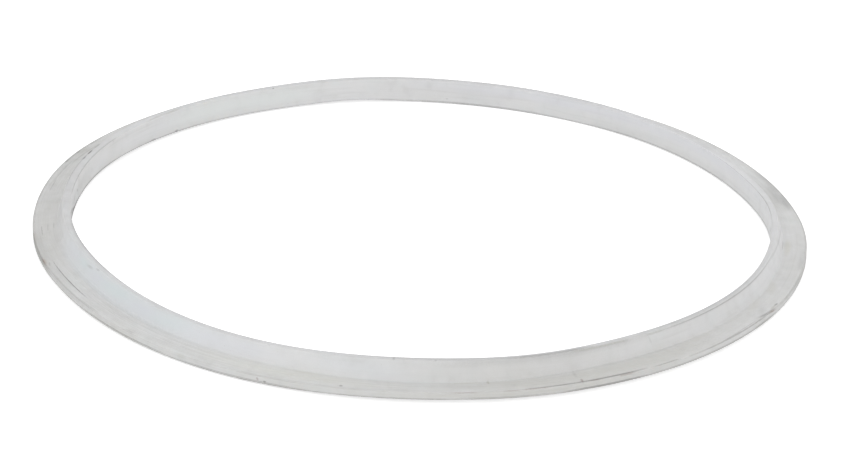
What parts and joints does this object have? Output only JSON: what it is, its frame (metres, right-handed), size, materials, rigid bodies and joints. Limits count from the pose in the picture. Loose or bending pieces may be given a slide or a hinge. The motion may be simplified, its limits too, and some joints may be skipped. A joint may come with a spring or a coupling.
{
  "type": "silicone gasket",
  "caption": "Round moulded silicone gasket with an L-shaped section: a flat flange with fine concentric ribs and a lip that stands up round the bore.",
  "frame": {"origin": "middle of the underside, on the bore's axis", "axes": "+Z along the bore's axis, from the flat underside towards the lip's crest; the ring is round, so X and Y are any two directions across it"},
  "size_m": [0.4419, 0.442, 0.0145],
  "materials": {
    "silicone": "satin translucent grey-white silicone, slightly milky, with light handling dirt"
  },
  "bodies": {
    "root": {"gasket_ring": "silicone"}
  },
  "joints": []
}
